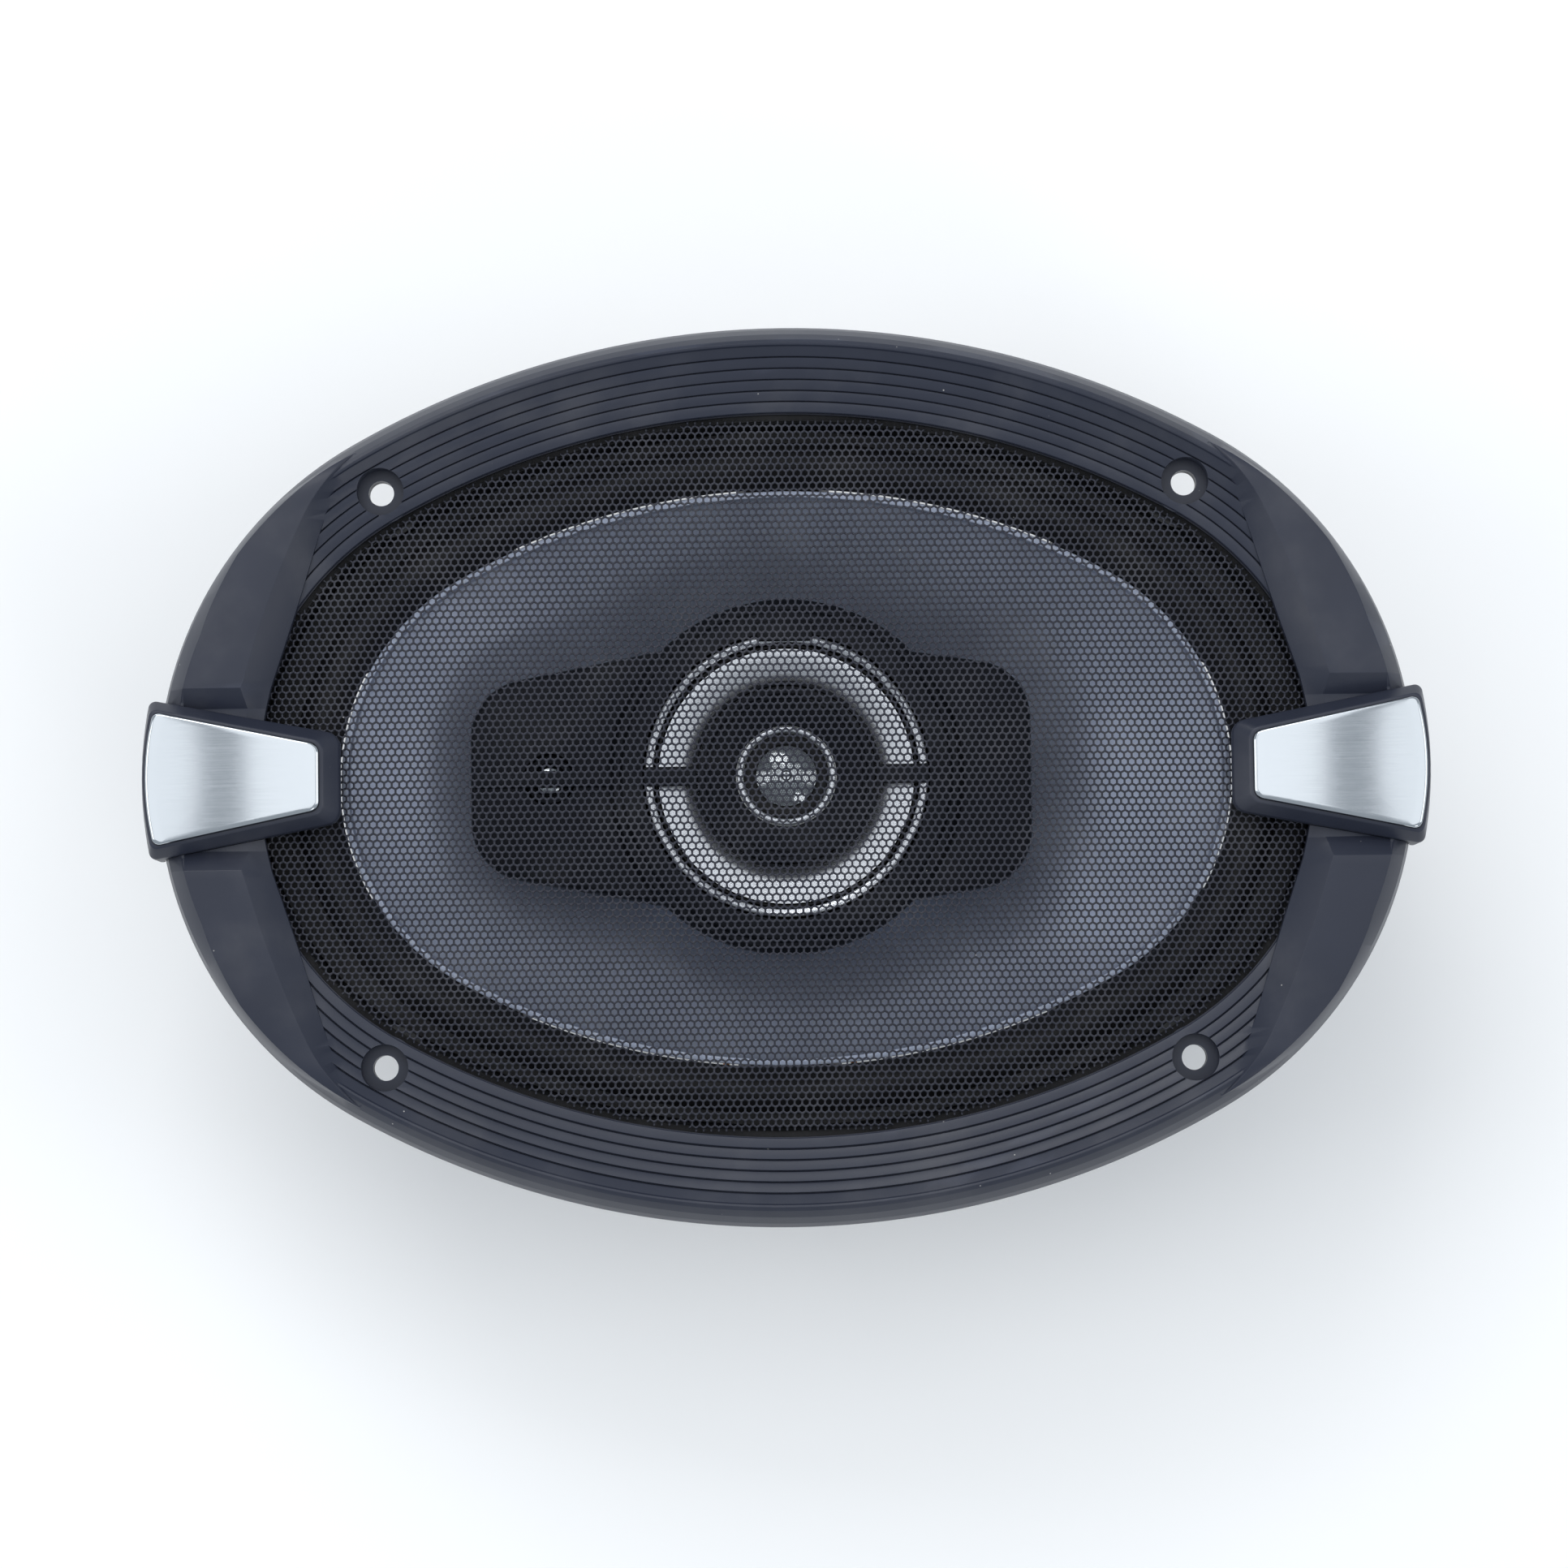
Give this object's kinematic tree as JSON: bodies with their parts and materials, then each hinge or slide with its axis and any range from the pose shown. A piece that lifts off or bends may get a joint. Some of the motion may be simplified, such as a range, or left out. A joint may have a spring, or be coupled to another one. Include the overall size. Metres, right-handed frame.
{
  "type": "coaxial car speaker",
  "caption": "Oval coaxial car speaker: ribbed trim ring with mesh grille and bright end badges over a sprung cone, a pole-mounted pod of small drivers, a windowed basket and a ring magnet.",
  "frame": {"origin": "middle of the back plate's flat rear face, on which the speaker stands face up", "axes": "+Z out of the speaker's face along its axis; +X along the oval's length; +Y across the oval, away from the terminals"},
  "size_m": [0.2624, 0.185, 0.0949],
  "materials": {
    "black_plastic": "satin",
    "matte_plastic": "matte",
    "grille_steel": "satin",
    "basket_steel": "satin",
    "plate_steel": "satin",
    "bright_metal": "polished",
    "plated_steel": "satin",
    "ferrite": "matte",
    "mica_cone": "satin",
    "rubber": "matte",
    "cloth": "matte",
    "kapton": "gloss",
    "copper": "satin",
    "brass": "satin",
    "fibreboard": "matte",
    "foam": "matte"
  },
  "bodies": {
    "frame": {"back_plate_with_pole": "plate_steel", "ferrite_magnet": "ferrite", "top_plate": "plate_steel", "basket_rivet_1": "plated_steel", "basket_rivet_2": "plated_steel", "basket_rivet_3": "plated_steel", "basket_rivet_4": "plated_steel", "basket": "basket_steel", "front_gasket": "foam", "terminal_board": "fibreboard", "terminal_positive": "brass", "terminal_negative": "brass", "crossover_capacitor": "matte_plastic", "pod_stem": "basket_steel", "pod_screw": "plated_steel", "pod_rear_cover": "matte_plastic", "pod_housing": "matte_plastic", "midrange_frame": "matte_plastic", "midrange_magnet": "ferrite", "midrange_trim_ring": "bright_metal", "tweeter_bridge": "matte_plastic", "tweeter_faceplate": "matte_plastic", "tweeter_magnet_cup": "plated_steel", "tweeter_magnet": "ferrite", "tweeter_trim_ring": "bright_metal", "super_tweeter_body": "matte_plastic"},
    "woofer_moving_parts": {"woofer_cone": "mica_cone", "cone_surround": "rubber", "spider": "cloth", "voice_coil_former": "kapton", "voice_coil_winding": "copper", "dust_ring": "foam", "tinsel_lead_positive": "copper", "tinsel_lead_negative": "copper"},
    "midrange_moving_parts": {"midrange_cone": "bright_metal", "midrange_surround": "rubber", "midrange_voice_coil": "copper"},
    "tweeter_moving_parts": {"tweeter_dome": "bright_metal", "tweeter_surround": "rubber"},
    "super_tweeter_moving_parts": {"super_tweeter_dome": "bright_metal"},
    "grille": {"trim_ring": "black_plastic", "grille_mesh": "grille_steel", "left_badge_housing": "black_plastic", "right_badge_housing": "black_plastic", "left_badge_plate": "bright_metal", "right_badge_plate": "bright_metal"}
  },
  "joints": [
    {"name": "woofer_excursion", "type": "slide", "parent": "frame", "child": "woofer_moving_parts", "axis": [0, 0, 1], "range_m": [-0.004, 0.004], "stiffness_N_per_m": 1900, "deforming": ["cone_surround", "spider", "tinsel_lead_positive", "tinsel_lead_negative"]},
    {"name": "midrange_excursion", "type": "slide", "parent": "frame", "child": "midrange_moving_parts", "axis": [0, 0, 1], "range_m": [-0.0005, 0.0005], "stiffness_N_per_m": 900, "deforming": ["midrange_surround"]},
    {"name": "tweeter_excursion", "type": "slide", "parent": "frame", "child": "tweeter_moving_parts", "axis": [0, 0, 1], "range_m": [-0.0002, 0.0002], "stiffness_N_per_m": 900, "deforming": ["tweeter_surround"]},
    {"name": "super_tweeter_excursion", "type": "slide", "parent": "frame", "child": "super_tweeter_moving_parts", "axis": [0, 0, 1], "range_m": [-0.0001, 0.0001], "stiffness_N_per_m": 900},
    {"name": "grille_lift", "type": "slide", "parent": "frame", "child": "grille", "axis": [0, 0, 1], "range_m": [0, 0.045]}
  ]
}
